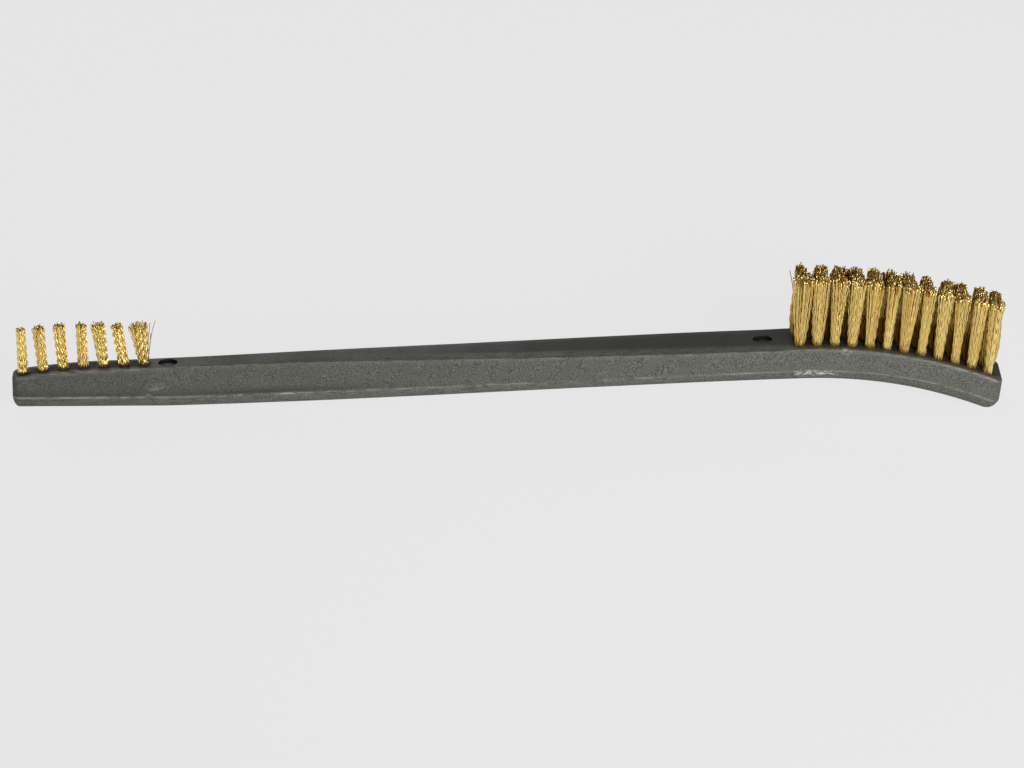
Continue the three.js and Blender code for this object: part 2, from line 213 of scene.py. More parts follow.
# The rubbed grey also paints highlights and lit strips, and the scuffed grey a lit band.
RUBBED_AND_LIT_GREY = (0.44, 0.44, 0.41, 1)
SCUFFED_AND_LIT_GREY = (0.62, 0.62, 0.58, 1)
SPECKLE = (6500.0, 1.0, 0.5)
SPECKLE_SPAN = (0.36, 0.64)
GRIME_AND_SHADE_SPAN = (0.2, 0.6)  # of the speckle that breaks up grime and painted shade
CLOUD = (150.0, 3.0, 0.55)
CLOUD_SPAN = (0.3, 0.75)
CLOUD_SHARE = 0.25  # of its colour where it is full
FLOW = (1.0, 3.0, 0.6)
FLOW_STRETCH = (60.0, 700.0, 700.0)
FLOW_SPAN = (0.45, 0.8)
FLOW_SHARE = 0.2
BROKEN = (1.0, 4.0, 0.65)  # what breaks up the rubbed and painted lit plastic
BROKEN_STRETCH = (450.0, 1800.0, 1800.0)
BROKEN_SPAN = (0.36, 0.6)
SCRATCH = (1.0, 4.0, 0.7)  # what breaks up scuffs and the painted lit band
SCRATCH_STRETCH = (900.0, 900.0, 2600.0)
SCRATCH_SPAN = (0.46, 0.6)
MARK_RIM = (0.99, 1.005)  # where a mark's painted shade ends, as shares of the ball's radius
MARK_LIT_MIDDLE = (0.15, 0.55)  # span round the middle of a mark that is left unshaded, as shares of its radius
SPECKLE_RELIEF = 0.5
FLOW_RELIEF = 0.8
RELIEF_STRENGTH = 0.25
RELIEF_DISTANCE = 0.00012
DULL_SPAN = (0.25, 0.75)  # of the cloud that makes it duller
PLASTIC_ROUGHNESS = (0.56, 0.68)  # least and most
PLASTIC_SPECULAR = 0.35

# Brass
DEEP_BRASS = (0.93, 0.61, 0.165, 1)
PALE_BRASS = (1.0, 0.83, 0.345, 1)
# The brown of tarnish, and of painted shade inside the holes, low among the rows and on the tips of the rows
# behind
BROWN_BRASS = (0.34, 0.17, 0.024, 1)
GRAIN = (1500.0, 2.0, 0.6)
GRAIN_SPAN = (0.3, 0.7)
GRAIN_TONE = 0.25  # how far it takes a wire's tone up or down
TARNISH_AND_SHADE_SPAN = (0.7, 1.3)  # of tarnish, painted shade and grain together
WIRE_ROUGHNESS = (0.28, 0.55)  # clean and brown
DARK_ANCHOR = (0.42, 0.27, 0.09, 1)
PALE_ANCHOR = (0.62, 0.45, 0.19, 1)
ROLLED = (1.0, 3.0, 0.6)
ROLLED_STRETCH = (900.0, 900.0, 4500.0)
ROLLED_SPAN = (0.3, 0.7)
ANCHOR_ROUGHNESS = (0.32, 0.48)  # least and most

# Wires
WIRE_SIDES = 4
WIRE_SINK = 1.6  # of wire inside its hole
FLARE = 0.08  # how far a tuft spreads just above the handle
FLARE_HEIGHT = (0.25, 0.35)  # the middle and breadth of that spread
TAPER_CURVE = 1.1
BULGE_CURVE = 0.55
DRIFT = 0.12  # of a wire's tip, as a share of its tuft's radius
CRIMP_START = (-0.5, 0.8)
SIDE_LEAN = 0.008  # spread of the tufts' lean across their row, as a slope
TONE_SPREAD = (2.6, 1.5)  # of a beta distribution
BROWN_SPREAD = 0.45
# Painted shade: wire browned inside its hole
HOLE_SHADE_END = (-0.6, -0.2)
LOW_SHADE_END = (0.2, 0.7)  # where the painted shade low among the tufts ends, as shares of a tuft's length
FOOT_BROWN = 1.0  # of the brownest wires where they leave the handle
FOOT_BROWN_END = (0.1, 0.9)
TIP_BROWN = 0.3  # how far down from its end a wire is wholly brown
TIP_BROWN_END = 1.0
TIP_BROWN_MORE = 2.5  # how much further down browner tips fade
END_SHADE_SHARE = 0.3  # of the first and last tuft, as a share of the painted shade low down between them
STRAY_THINNESS = 0.6
STRAY_SIDE = 0.2  # its place across the row, as a share of its place along it
STRAY_TONE = 0.1
STRAY_BROWN = 0.6

# Tufts of the small head, with a number for each. A look is how bright a row's wires are, how brown their
# tips are and how brown they are low down. A stray has its place at the foot, its lean in degrees, its bow
# and its length, and is kept by the number of its tuft.
SMALL_TUFTS = 7
SMALL_LEAN = math.radians(-4.0)
SMALL_OWN_LEANS = (2.1, -1.0, -0.3, 1.6, -2.2, -4.1, -2.0)  # degrees more
SMALL_TIPS = (0.82, 1.0, 1.12, 0.92, 1.25, 0.92, 1.75)  # radius of each tuft at its tips
SMALL_LONGER = 0.4  # how much longer the first is, and the last shorter
SMALL_LOOK = (1.25, 0.15, 0.0)
SMALL_STRAYS = {6: [(0.8, 9.0, 0.7, 7.8), (0.7, 6.0, 0.3, 7.5), (0.6, 13.5, -0.2, 5.6)]}

# Tufts of the large head, with a number for each along its row
LARGE_TUFTS = 12
FIRST_LEAN = math.radians(2.6)
LAST_LEAN = math.radians(7.0)
LAST_LONGER = 0.5  # how much longer the last tufts are
LAST_CURVE = 6
MIDDLE_SHORTER = 0.35  # how much shorter those halfway along are
FRONT_LEANS = (0.0, 0.0, 0.0, -0.2, -0.5, 0.3, 0.5, 0.9, -0.5, -0.4, 0.3, -0.5)
FRONT_TIPS = (1.8, 1.55, 1.55, 1.45, 1.6, 1.3, 1.65, 1.2, 1.45, 1.4, 1.3, 1.4)
FRONT_BULGES = (0.22, 0.2, -0.05, 0.06, -0.05, -0.15, 0.03, -0.08, 0.0, -0.2, 0.08, -0.2)
FRONT_TALLER = 0.12
FRONT_LOOK = (1.2, 0.3, 0.0)
MIDDLE_LEANS = (0.5, -1.5, -2.0, 0.5, -1.0, 1.5, -0.5, -2.0, 0.5, -1.5, 1.0, -1.0)
MIDDLE_TIPS = (1.15,) * LARGE_TUFTS
MIDDLE_BULGES = (1.15,) * LARGE_TUFTS
MIDDLE_TALLER = -0.1
# The middle row is drawn darker and browner low down: painted shade between the other rows.
MIDDLE_LOOK = (0.7, 0.5, 0.9)
REAR_LEANS = (-1.0, 1.0, 1.0, -1.0, -0.2, -2.0, -2.5, -0.7, 2.5, -0.6, 2.0, 0.7)
REAR_TIPS = (0.9, 1.2, 1.35, 1.4, 1.05, 1.2, 1.55, 1.0, 1.15, 1.15, 1.1, 1.05)
REAR_BULGES = (0.5,) * LARGE_TUFTS
REAR_TALLER = -0.15
# Browner tips on the middle and rear rows: tarnish, and painted shade on the rows behind.
REAR_LOOK = (1.1, 0.65, 0.1)
REAR_STRAYS = {0: [(-0.8, -1.0, -1.2, 12.0)]}

# Stage and light, in metres and watts. A lamp has its place, its target, its size and its power.
FLOOR_HALF = 12.0
FLOOR_WHITE = (0.88, 0.88, 0.88, 1)  # as the brush is lit by it
SHADOW_GREY = (0.15, 0.15, 0.15, 1)  # how strongly shadows show on it
FLOOR_GLOW = 0.74
WHITE = (1, 1, 1, 1)
HORIZON = (0.06, 0.26)  # span of the upward part of a direction
HORIZON_LIGHT = 0.79
OVERHEAD_LIGHT = 0.10
GLOW_DIRECTION = (0.36, -0.92, 0.16)
GLOW_EDGE = (0.5, 0.95)
GLOW_LIGHT = 0.3
LAMP_SPREAD = math.radians(60)
KEY_LAMP = ((0.28, -0.47, 0.135), (0.13, 0, 0.01), (0.5, 0.24), 0.46)
BACK_LAMP = ((-0.45, 1.05, 0.4), (-0.3, 0, 0.01), (0.75, 0.5), 0.38)

# The back rises between the heads, and the large head bends down to the ground and ends in a round tip
SMALL_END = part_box("handle")[0].x
OVERALL_LENGTH = (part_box("handle")[1].x - SMALL_END) / MM
END_SLOPE = RISE_SLOPE - BEND_LENGTH / BEND_RADIUS
END_TURN = -END_LEAN - END_SLOPE
TIP_CORNER = math.pi / 2 - END_TURN
TIP_REACH = TIP_ROUND / math.tan(TIP_CORNER / 2)
TIP_LIFT = TIP_ROUND * ((math.cos(END_LEAN) - math.sin(END_SLOPE)) / math.sin(TIP_CORNER) - 1)
ARCH_HEIGHT = BEND_RADIUS * (math.cos(RISE_SLOPE) - math.cos(END_SLOPE)) - TIP_LIFT
BEND_SPAN = (
    BEND_RADIUS * (math.sin(RISE_SLOPE) - math.sin(END_SLOPE))
    + (HEAD_DEPTH - TOP_EDGE) / math.cos(END_TURN) * math.sin(END_LEAN)
)
BEND_START = OVERALL_LENGTH - BEND_SPAN
HANDLE_END = BEND_START + BEND_LENGTH
RISE_LENGTH = BEND_START - FLAT_LENGTH


# Helpers

def mix(a, b, t):
    return a + (b - a) * t


def smooth(x, low, high):
    """0 below low, 1 above high, and an easy curve between them."""
    t = np.clip((x - low) / (high - low), 0.0, 1.0)
    return t * t * (3 - 2 * t)


def bump(x, middle, breadth):
    """A bell curve of height 1."""
    return np.exp(-(((x - middle) / breadth) ** 2))


def link(obj):
    bpy.context.scene.collection.objects.link(obj)
    return obj


def add_values(mesh, name, values):
    """A number at each vertex, which a material can read by its name."""
    attribute = mesh.attributes.new(name, "FLOAT", "POINT")
    attribute.data.foreach_set("value", np.ascontiguousarray(values, np.float32))


class Nodes:
    """A material's or world's node tree, with short calls to fill it."""

    def __init__(self, owner):
        owner.use_nodes = True
        self.tree = owner.node_tree
        self.tree.nodes.clear()

    def add(self, kind, settings=None, **inputs):
        """A node. Its inputs go by their names, or by their places as i0, i1 and so on."""
        node = self.tree.nodes.new(kind)
        for name, value in (settings or {}).items():
            setattr(node, name, value)
        for name, value in inputs.items():
            key = int(name[1:]) if name[1:].isdigit() else name.replace("_", " ")
            self.set(node.inputs[key], value)
        return node

    def set(self, socket, value):
        if isinstance(value, bpy.types.NodeSocket):
            self.tree.links.new(value, socket)
        else:
            socket.default_value = value

    def attribute(self, name):
        return self.add("ShaderNodeAttribute", {"attribute_name": name}).outputs["Fac"]

    def math(self, operation, a, b):
        return self.add("ShaderNodeMath", {"operation": operation}, i0=a, i1=b).outputs[0]

    def vector(self, operation, a, b):
        return self.add("ShaderNodeVectorMath", {"operation": operation}, i0=a, i1=b).outputs["Value"]

    def span(self, value, low, high, to_low=0.0, to_high=1.0):
        node = self.add("ShaderNodeMapRange", {"interpolation_type": "SMOOTHSTEP"}, Value=value)
        for name, number in (("From Min", low), ("From Max", high), ("To Min", to_low), ("To Max", to_high)):
            node.inputs[name].default_value = number
        return node.outputs["Result"]

    def blend(self, factor, a, b):
        """One colour over another. The numbered sockets are those for colours."""
        node = self.add("ShaderNodeMix", {"data_type": "RGBA"})
        self.set(node.inputs["Factor"], factor)
        self.set(node.inputs[6], a)
        self.set(node.inputs[7], b)
        return node.outputs[2]

    def noise(self, place, scale, detail, rough):
        node = self.add("ShaderNodeTexNoise", Vector=place, Scale=scale, Detail=detail, Roughness=rough)
        return node.outputs["Fac"]

    def stretched(self, place, scale):
        return self.add("ShaderNodeMapping", Vector=place, Scale=scale).outputs["Vector"]


# Materials

def handle_plastic(marks):
    """Dark grey moulded plastic, mottled, with pale rubbed edges and scuffs, painted highlights and lit
    patches, grime and painted shade, and painted shade in the round marks.
    """
    material = bpy.data.materials.new("handle_plastic")
    nodes = Nodes(material)
    place = nodes.add("ShaderNodeTexCoord").outputs["Object"]
    speckle = nodes.noise(place, *SPECKLE)
    cloud = nodes.noise(place, *CLOUD)
    flow = nodes.noise(nodes.stretched(place, FLOW_STRETCH), *FLOW)
    grey = nodes.blend(nodes.span(speckle, *SPECKLE_SPAN), DARK_GREY, PALE_GREY)
    grey = nodes.blend(nodes.span(cloud, *CLOUD_SPAN, 0.0, CLOUD_SHARE), grey, CLOUD_GREY)
    grey = nodes.blend(nodes.span(flow, *FLOW_SPAN, 0.0, FLOW_SHARE), grey, FLOW_GREY)
    # grime, and painted shade, darkening the plastic
    grime_and_shade = nodes.math("MULTIPLY", nodes.attribute("grime_and_shade"), nodes.span(speckle, *GRIME_AND_SHADE_SPAN))
    grey = nodes.blend(grime_and_shade, grey, GRIME_AND_SHADE)
    # pale where rubbed, and where highlights and lit strips are painted
    broken = nodes.noise(nodes.stretched(place, BROKEN_STRETCH), *BROKEN)
    rubbed_and_lit = nodes.math("MULTIPLY", nodes.attribute("rubbed_and_lit"), nodes.span(broken, *BROKEN_SPAN))
    # pale where scuffed, and on the painted lit band
    scratch = nodes.noise(nodes.stretched(place, SCRATCH_STRETCH), *SCRATCH)
    scuffed_and_lit = nodes.math("MULTIPLY", nodes.attribute("scuffed_and_lit"), nodes.span(scratch, *SCRATCH_SPAN))
    grey = nodes.blend(rubbed_and_lit, grey, RUBBED_AND_LIT_GREY)
    grey = nodes.blend(scuffed_and_lit, grey, SCUFFED_AND_LIT_GREY)
    # painted shade in each round mark: its walls and the edge of its floor darkened, the middle of its floor
    # left unshaded
    ball = math.hypot(MARK_RADIUS, MARK_CENTRE_DEPTH) * MM
    for mark in marks:
        centre = mark - Vector((0, 0, MARK_CENTRE_DEPTH * MM))
        from_centre = nodes.vector("DISTANCE", place, centre)
        inside = nodes.span(from_centre, ball * MARK_RIM[0], ball * MARK_RIM[1], 1.0, 0.0)
        floor = mark - Vector((0, 0, MARK_DEPTH * MM))
        from_floor = nodes.vector("DISTANCE", place, floor)
        shade_off_middle = nodes.span(from_floor, MARK_RADIUS * MARK_LIT_MIDDLE[0] * MM, MARK_RADIUS * MARK_LIT_MIDDLE[1] * MM)
        grey = nodes.blend(nodes.math("MULTIPLY", inside, shade_off_middle), grey, MARK_SHADE)
    fine = nodes.math("MULTIPLY", speckle, SPECKLE_RELIEF)
    coarse = nodes.math("MULTIPLY", flow, FLOW_RELIEF)
    height = nodes.math("ADD", fine, coarse)
    relief = nodes.add("ShaderNodeBump", Strength=RELIEF_STRENGTH, Distance=RELIEF_DISTANCE, Height=height)
    shader = nodes.add(
        "ShaderNodeBsdfPrincipled",
        Base_Color=grey,
        Roughness=nodes.math("MAXIMUM", nodes.span(cloud, *DULL_SPAN, *PLASTIC_ROUGHNESS), grime_and_shade),
        Normal=relief.outputs["Normal"],
    )
    shader.inputs["Specular IOR Level"].default_value = PLASTIC_SPECULAR
    nodes.add("ShaderNodeOutputMaterial", Surface=shader.outputs[0])
    return material


def brass_wire():
    """Drawn brass wire, each one its own tone, brown with tarnish and painted shade where the attribute says
    so.
    """
    material = bpy.data.materials.new("brass_wire")
    nodes = Nodes(material)
    place = nodes.add("ShaderNodeTexCoord").outputs["Object"]
    grain = nodes.noise(place, *GRAIN)
    grain_tone = nodes.span(grain, *GRAIN_SPAN, -GRAIN_TONE, GRAIN_TONE)
    tone = nodes.math("ADD", nodes.attribute("tone"), grain_tone)
    brass = nodes.blend(nodes.span(tone, 0.0, 1.0), DEEP_BRASS, PALE_BRASS)
    brown = nodes.span(nodes.math("ADD", nodes.attribute("tarnish_and_shade"), grain), *TARNISH_AND_SHADE_SPAN)
    shader = nodes.add(
        "ShaderNodeBsdfPrincipled",
        Base_Color=nodes.blend(brown, brass, BROWN_BRASS),
        Roughness=nodes.span(brown, 0.0, 1.0, *WIRE_ROUGHNESS),
    )
    shader.inputs["Metallic"].default_value = 1.0
    nodes.add("ShaderNodeOutputMaterial", Surface=shader.outputs[0])
    return material


def anchor_brass():
    """Flat brass, rolled along its length and a little dull."""
    material = bpy.data.materials.new("anchor_brass")
    nodes = Nodes(material)
    place = nodes.add("ShaderNodeTexCoord").outputs["Object"]
    rolled = nodes.noise(nodes.stretched(place, ROLLED_STRETCH), *ROLLED)
    shader = nodes.add(
        "ShaderNodeBsdfPrincipled",
        Base_Color=nodes.blend(nodes.span(rolled, *ROLLED_SPAN), DARK_ANCHOR, PALE_ANCHOR),
        Roughness=nodes.span(rolled, *ROLLED_SPAN, *ANCHOR_ROUGHNESS),
    )
    shader.inputs["Metallic"].default_value = 1.0
    nodes.add("ShaderNodeOutputMaterial", Surface=shader.outputs[0])
    return material


# Shape of the handle

def back_line(u):
    """The x, z and slope of the back at a length along it."""
    if u <= FLAT_LENGTH:
        return u, 0.0, 0.0
    if u <= BEND_START:
        t = (u - FLAT_LENGTH) / RISE_LENGTH
        eased = t * t * (3 - 2 * t)
        straight = math.tan(RISE_SLOPE) * RISE_LENGTH
        climb = (ARCH_HEIGHT - straight) * 6 * t * (1 - t) + straight
        return u, ARCH_HEIGHT * eased + straight * (t - eased), math.atan(climb / RISE_LENGTH)
    slope = RISE_SLOPE - (u - BEND_START) / BEND_RADIUS
    x = BEND_START + BEND_RADIUS * (math.sin(RISE_SLOPE) - math.sin(slope))
    return x, ARCH_HEIGHT - BEND_RADIUS * (math.cos(RISE_SLOPE) - math.cos(slope)), slope


def before_bend(u):
    """1 along the grip, falling to 0 where the large head bends down."""
    return 1 - smooth(u, BEND_START - LARGE_STRAIGHT, BEND_START)


def camber_at(u):
    """How far the top face falls from its middle to its edges, which it does where the grip is wide."""
    return TOP_CAMBER * smooth(u, FLAT_LENGTH, BEND_START - CAMBER_FULL) * before_bend(u)


def swell_at(u):
    """How far the middle of the top face is raised, all along the grip."""
    return TOP_SWELL * smooth(u, FLAT_LENGTH, SWELL_FULL) * before_bend(u)


def depth_at(u):
    """How deep the handle is from its back to the middle of its top face."""
    if u >= BEND_START:
        return HEAD_DEPTH
    t = u / BEND_START
    straight = mix(TIP_DEPTH + TIP_DROP, ARCH_HEIGHT + HEAD_DEPTH, t)
    drop = TIP_DROP * max(1 - u / TIP_DROP_LENGTH, 0) ** 2
    return straight + TOP_CROWN * 4 * t * (1 - t) + swell_at(u) - drop - back_line(u)[1]


def width_at(u):
    """The width at the top of the sides."""
    return mix(SMALL_WIDTH, LARGE_WIDTH, smooth(u, WIDEN_START, BEND_START - LARGE_STRAIGHT))


def parting_at(u):
    """The height of the parting line, which is lowest along the second half of the grip."""
    lift = SMALL_PARTING_LIFT * (1 - smooth(u, *PARTING_FALL))
    return PARTING_HEIGHT + lift + LARGE_PARTING_LIFT * smooth(u, BEND_START, HANDLE_END - TURN_LENGTH)


def on_handle(u, y, h):
    """A point on the cross-section at u, which near the large end is turned from square to the back."""
    x, z, slope = back_line(u)
    turn = END_TURN * smooth(u, HANDLE_END - TURN_LENGTH, HANDLE_END)
    reach = h / math.cos(turn)
    return Vector((x - reach * math.sin(slope + turn), y, z + reach * math.cos(slope + turn)))


def in_frame(point):
    """A point of the handle, in metres in the brush's frame."""
    return Vector((SMALL_END + point[0] * MM, point[1] * MM, point[2] * MM))


def drawn_in(distance, radius, corner=math.pi / 2):
    """How far a round corner has drawn a face in, at a distance along that face from the corner's point."""
    middle = radius / math.sin(corner)
    past = min(distance - middle, radius / math.tan(corner))
    rise = math.sqrt(max(radius**2 - (past * math.sin(corner)) ** 2, 0.0))
    return (middle - past * math.cos(corner) - rise) * math.sin(corner)


def outline_at(u):
    """The outline across the handle as points of (y, h), anticlockwise seen from the large end."""
    from_end = max(HANDLE_END - u, 0.0)
    corner = drawn_in(u, SMALL_CORNER) + drawn_in(from_end, LARGE_CORNER)
    back = drawn_in(u, BACK_ROUND) / BACK_ROUND * PARTING_HEIGHT + drawn_in(from_end, TIP_ROUND, TIP_CORNER)
    parting = max(parting_at(u), back + PARTING_BREADTH)
    top = depth_at(u) - drawn_in(u, TOP_EDGE) - drawn_in(from_end, TOP_EDGE)
    half = width_at(u) / 2 - corner
    widest = half + DRAFT
    rounding = min(BACK_ROUND, half)
    camber = camber_at(u)
    edge_top = top - camber
    right = [(y, back) for y in np.linspace(0, widest - rounding, BACK_POINTS, endpoint=False)]
    for angle in np.linspace(0, math.pi / 2, ROUND_POINTS, endpoint=False):
        h = parting - (parting - back) * math.cos(angle)
        right.append((widest - rounding * (1 - math.sin(angle)), min(h, parting - PARTING_BREADTH / 2)))
    right.append((widest + PARTING_RIDGE, parting))
    heights = [parting + height for height in LINE_POINTS]
    heights += list(np.linspace(parting + SIDE_START, edge_top - TOP_EDGE, SIDE_POINTS, endpoint=False))
    for h in heights:
        share = (h - parting) / (edge_top - TOP_EDGE - parting)
        right.append((mix(widest, half, share), h))
    for angle in np.linspace(0, math.pi / 2, EDGE_POINTS):
        right.append((half - TOP_EDGE * (1 - math.cos(angle)), edge_top - TOP_EDGE * (1 - math.sin(angle))))
    for share in np.linspace(1, 0, TOP_POINTS)[1:]:
        fall = max((share - FLAT_SHARE) / (1 - FLAT_SHARE), 0) ** CAMBER_CURVE
        right.append(((half - TOP_EDGE) * share, top - camber * fall))
    left = [(-y, h) for y, h in reversed(right[1:-1])]
    return right + left


def ring_lengths():
    """The lengths along the back that have an outline, close together near both ends."""
    near = [1 - math.cos(a) for a in np.linspace(0, math.pi / 2, RINGS_NEAR_END)]
    start = [max(SMALL_CORNER, BACK_ROUND) * n for n in near]
    end = [HANDLE_END - max(LARGE_CORNER, TIP_REACH) * n for n in reversed(near)]
    count = round((end[0] - start[-1]) / RING_STEP)
    return start + list(np.linspace(start[-1], end[0], count + 1)[1:-1]) + end


def body_mesh():
    """The handle without its holes, a little uneven as moulded."""
    rings = [[in_frame(on_handle(u, y, h)) for y, h in outline_at(u)] for u in ring_lengths()]
    sides = len(rings[0])
    points = [p for ring in rings for p in ring]
    faces = [tuple(reversed(range(sides))), tuple(range(len(points) - sides, len(points)))]
    for ring in range(len(rings) - 1):
        for side in range(sides):
            a = ring * sides + side
            b = ring * sides + (side + 1) % sides
            faces.append((a, b, b + sides, a + sides))
    mesh = bpy.data.meshes.new("handle_body")
    mesh.from_pydata(points, [], faces)
    normals = [vertex.normal.copy() for vertex in mesh.vertices]
    for vertex, normal in zip(mesh.vertices, normals):
        vertex.co += normal * UNEVENNESS * MM * noise.noise(vertex.co / (UNEVEN_SIZE * MM))
    mesh.update()
    return mesh


def add_drill(shape, place, radius, depth):
    """A closed rod in a bmesh that cuts a round hole: it goes down its own Z, and is set by a matrix."""
    rings = []
    for height in (-depth, CUT_OVER):
        ring = []
        for i in range(HOLE_SIDES):
            angle = 2 * math.pi * i / HOLE_SIDES
            point = Vector((radius * math.cos(angle), radius * math.sin(angle), height))
            ring.append(shape.verts.new(place @ point))
        rings.append(ring)
    shape.faces.new(list(reversed(rings[0])))
    shape.faces.new(rings[1])
    for i in range(HOLE_SIDES):
        j = (i + 1) % HOLE_SIDES
        shape.faces.new((rings[0][i], rings[0][j], rings[1][j], rings[1][i]))


def cut(obj, cutter):
    """Takes the cutter out of the object and deletes it."""
    modifier = obj.modifiers.new("holes", "BOOLEAN")
    modifier.operation = "DIFFERENCE"
    modifier.solver = "EXACT"
    modifier.object = cutter
    graph = bpy.context.evaluated_depsgraph_get()
    result = bpy.data.meshes.new_from_object(obj.evaluated_get(graph))
    obj.modifiers.clear()
    obj.data = result
    bpy.data.objects.remove(cutter)


# Wear of the handle, and light and shade painted on it

def handle_places(points):
    """The u, y and h of points given in metres in the frame."""
    steps = np.arange(0, HANDLE_END + PLACE_STEP, PLACE_STEP)
    lines = np.array([back_line(u) for u in steps])
    x = points[:, 0] / MM - SMALL_END / MM
    z = points[:, 2] / MM
    away = (x[:, None] - lines[None, :, 0]) ** 2 + (z[:, None] - lines[None, :, 1]) ** 2
    nearest = lines[away.argmin(1)]
    h = -(x - nearest[:, 0]) * np.sin(nearest[:, 2]) + (z - nearest[:, 1]) * np.cos(nearest[:, 2])
    return steps[away.argmin(1)], points[:, 1] / MM, h


class Surface:
    """Where points of the handle's surface lie, and how near they are to the features where wear, painted
    light and painted shade are placed.
    """

    def __init__(self, points):
        self.u, self.y, self.h = handle_places(points)
        self.half = np.array([width_at(length) / 2 for length in self.u])
        self.top = np.array([depth_at(length) - camber_at(length) for length in self.u])
        self.above = self.h - parting_at(self.u)  # the parting line
        self.on_side = smooth(np.abs(self.y), self.half - SIDE_INSET[0], self.half - SIDE_INSET[1])
        self.on_top = smooth(self.h, self.top - TOP_INSET[0], self.top - TOP_INSET[1])
        self.at_small_end = 1 - smooth(self.u, FLAT_LENGTH - END_REACH, FLAT_LENGTH)
        self.at_large_end = smooth(self.u, BEND_START + END_REACH, HANDLE_END)


def lit_strip(at):
    """The painted lit strip along the front of the top face, where it turns towards the light."""
    inner = at.half - LIT_STRIP_BREADTH
    inside = smooth(-at.y, inner - LIT_STRIP_BLUR, inner + LIT_STRIP_BLUR)
    return inside * smooth(at.u, *LIT_STRIP_START)


def rubbed_and_lit(at):
    """How pale the plastic is: rubbed edges carrying a painted highlight, a painted highlight along the
    parting line, painted floor light on the strip under it and a painted lit strip on the front of the top.
    """
    # rubbed edges, with a painted highlight along them
    from_edge = np.hypot(np.abs(at.y) - at.half + EDGE_INSET, at.h - at.top + EDGE_INSET)
    edge_pale = EDGE_PALE + SMALL_EDGE_PALE * at.at_small_end + LARGE_EDGE_PALE * at.at_large_end
    edge = bump(from_edge, 0, EDGE_BREADTH) * edge_pale
    # painted highlight along the parting line, brightest in streaks
    long_streaks = sum(bump(at.u, middle, length) for middle, length in LONG_STREAKS)
    short_streaks = sum(bump(at.u, middle, length) for middle, length in SHORT_STREAKS)
    whole_line = LINE_PALE - LINE_LOSS * smooth(at.u, *LINE_FAINT)
    whole_line = whole_line + SMALL_LINE_PALE * at.at_small_end + LARGE_LINE_PALE * at.at_large_end
    line_pale = whole_line + LONG_STREAK_PALE * long_streaks + SHORT_STREAK_PALE * short_streaks
    line = bump(at.above, 0, LINE_BREADTH) * at.on_side * line_pale
    # painted light from the floor on the strip under the line
    strip = (1 - smooth(at.above, *STRIP_EDGE)) * (1 - smooth(at.u, *STRIP_FADE)) * at.on_side
    # painted lit strip along the front of the top face
    off_edge = 1 - smooth(-at.y, at.half - LIT_STRIP_MARGIN, at.half - TOP_EDGE)
    strip_light = (LIT_STRIP_PALE + LIT_STRIP_PEAK_PALE * bump(at.u, *LIT_STRIP_PEAK)) * lit_strip(at) * off_edge
    return edge + line + UNDER_LINE_LIGHT * strip + strip_light * at.on_top


def scuffed_and_lit(at):
    """Scratches in front: a scraped patch by the large head, a nick that trails down, and a painted lit band
    slanting across the small head where it meets the grip.
    """
    along_patch = smooth(at.u, *PATCH_START) * (1 - smooth(at.u, *PATCH_END))
    patch = along_patch * bump(at.h, *PATCH_HEIGHT)
    nick = bump(at.u, NICK, NICK_LENGTH) * bump(at.h, at.top, NICK_HEIGHT)
    along_trail = smooth(at.h, *TRAIL_BOTTOM)
    trail = TRAIL_PALE * bump(at.u, NICK - TRAIL_SLANT * (at.top - at.h), TRAIL_BREADTH) * along_trail
    # painted lit band where the small head meets the grip
    lit_band = LIT_BAND_PALE * bump(at.u, BAND + BAND_SLANT * at.h, BAND_BREADTH)
    lit_band = lit_band * smooth(at.h, *BAND_BOTTOM) * (1 - smooth(at.h, *BAND_TOP))
    return np.where(at.y < 0, (patch + nick + trail + lit_band) * at.on_side, 0)


def grimed_and_shaded(at, feet):
    """Grime with painted shade among the tufts, and painted shade above the parting line, on the small end,
    and on top towards the large head.
    """
    # grime and painted shade among the tufts
    rows = np.zeros(len(at.u))
    for row in feet:
        row_u, row_y, _ = handle_places(np.array(row))
        past = np.maximum(np.maximum(row_u.min() - at.u, at.u - row_u.max()), 0)
        rows = np.maximum(rows, 1 - smooth(np.hypot(past, at.y - row_y[0]), *ROW_GRIME_AND_SHADE))
    # painted shade above the parting line, darkest just over it
    thin_shade = SHADE_HAZE * smooth(at.above, *SHADE_HAZE_BOTTOM) * (1 - smooth(at.above, *SHADE_HAZE_TOP))
    deep = bump(at.above, *LINE_SHADE_HEIGHT) + thin_shade
    dark = LINE_SHADE_DARK + LINE_SHADE_DARKER * bump(at.u, *LINE_SHADE_DARKEST)
    shade_over_line = deep * dark * (1 - smooth(at.u, *LINE_SHADE_END))
    # painted shade over the parting line and on the small end's side
    on_side = (shade_over_line + SMALL_END_SHADE * at.at_small_end) * at.on_side
    # painted shade on the top towards the large head, kept off the lit strip
    on_top = TOP_SHADE_DARK * smooth(at.u, *TOP_SHADE_START) * (1 - lit_strip(at))
    return np.maximum(np.maximum(rows, on_top) * at.on_top, on_side)


def mark_wear_and_light(mesh, feet):
    """Numbers that tell the plastic where it is rubbed pale and painted lit, where it is scuffed and painted
    lit, and where it is grimy and painted shaded.
    """
    surface = Surface(np.array([v.co for v in mesh.vertices]))
    add_values(mesh, "rubbed_and_lit", np.clip(rubbed_and_lit(surface), 0, 1))
    add_values(mesh, "scuffed_and_lit", np.clip(scuffed_and_lit(surface), 0, 1))
    add_values(mesh, "grime_and_shade", np.clip(grimed_and_shaded(surface, feet), 0, 1))


# The handle as a piece

def sharpen_edges(mesh):
    """Smooth faces, with the edges that turn far kept sharp."""
    shape = bmesh.new()
    shape.from_mesh(mesh)
    for face in shape.faces:
        face.smooth = True
    for edge in shape.edges:
        edge.smooth = edge.calc_face_angle(0.0) < SHARP_ANGLE
    shape.to_mesh(mesh)
    shape.free()


